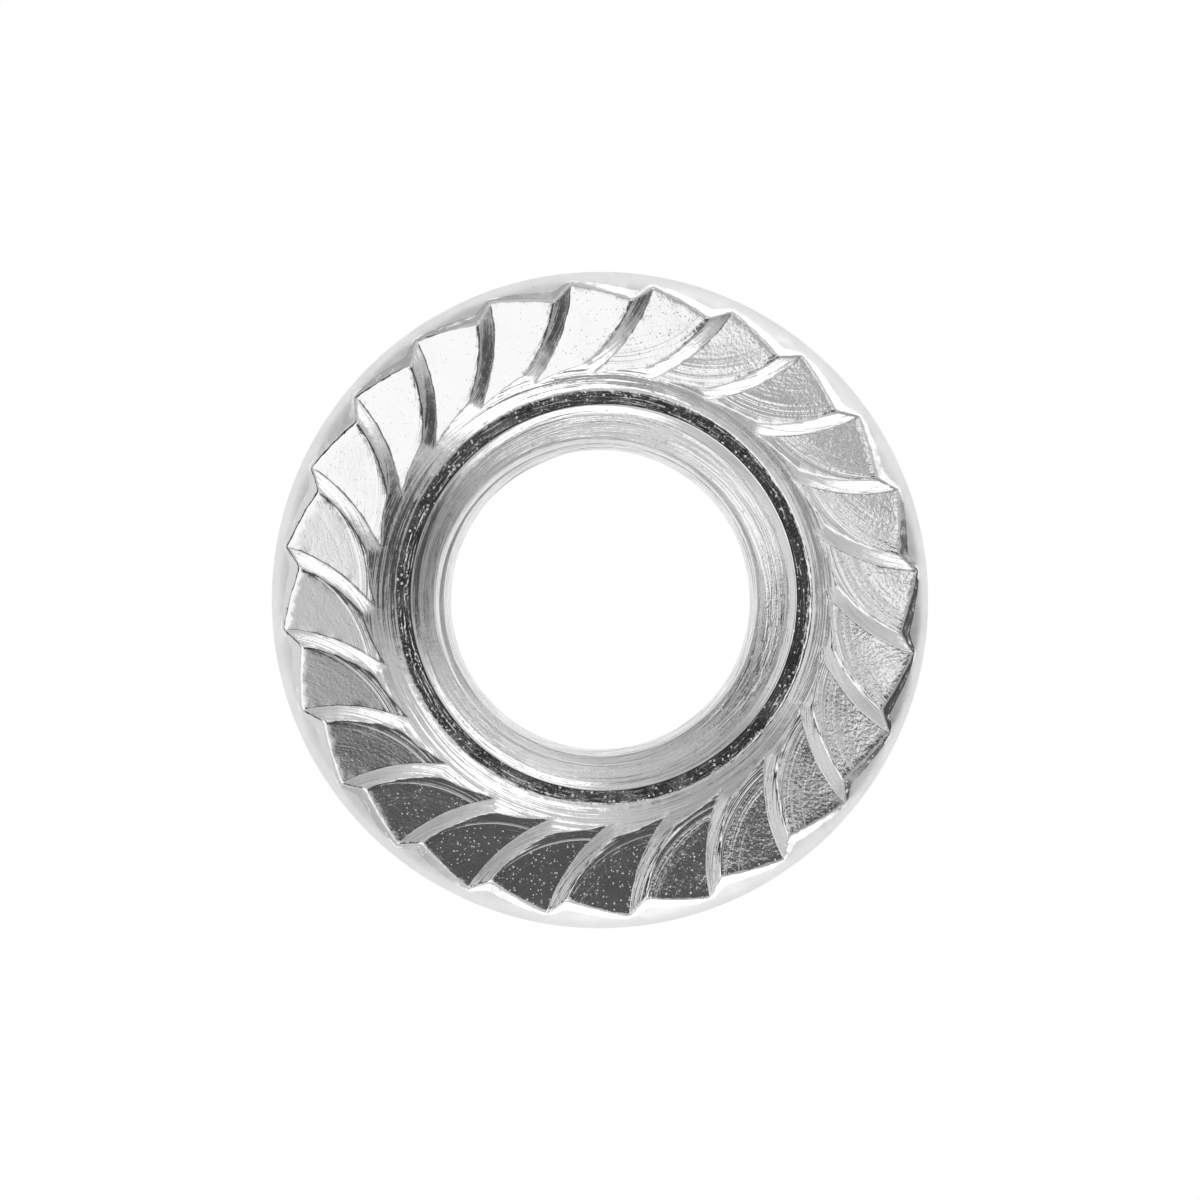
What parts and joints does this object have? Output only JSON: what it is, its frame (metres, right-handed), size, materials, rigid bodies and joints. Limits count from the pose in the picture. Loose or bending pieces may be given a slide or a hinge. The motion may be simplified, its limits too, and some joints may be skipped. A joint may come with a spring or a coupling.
{
  "type": "serrated hexagon flange nut",
  "caption": "Cold-formed hexagon nut with a round flange, a dished ring of one-way bearing serrations and a right-hand thread bore.",
  "frame": {"origin": "centre of the plain hexagon end face, on the thread axis", "axes": "+Z along the thread axis from the plain hexagon end to the serrated bearing face; +X through a corner of the hexagon; the serrations stand as the picture shows them with +X to its right and +Y up"},
  "size_m": [0.0178, 0.0178, 0.0098],
  "materials": {
    "zinc_plated_steel": "bright zinc plate, mirror-like on the formed serrations and satin on the rim and hexagon"
  },
  "bodies": {
    "root": {"nut": "zinc_plated_steel"}
  },
  "joints": []
}
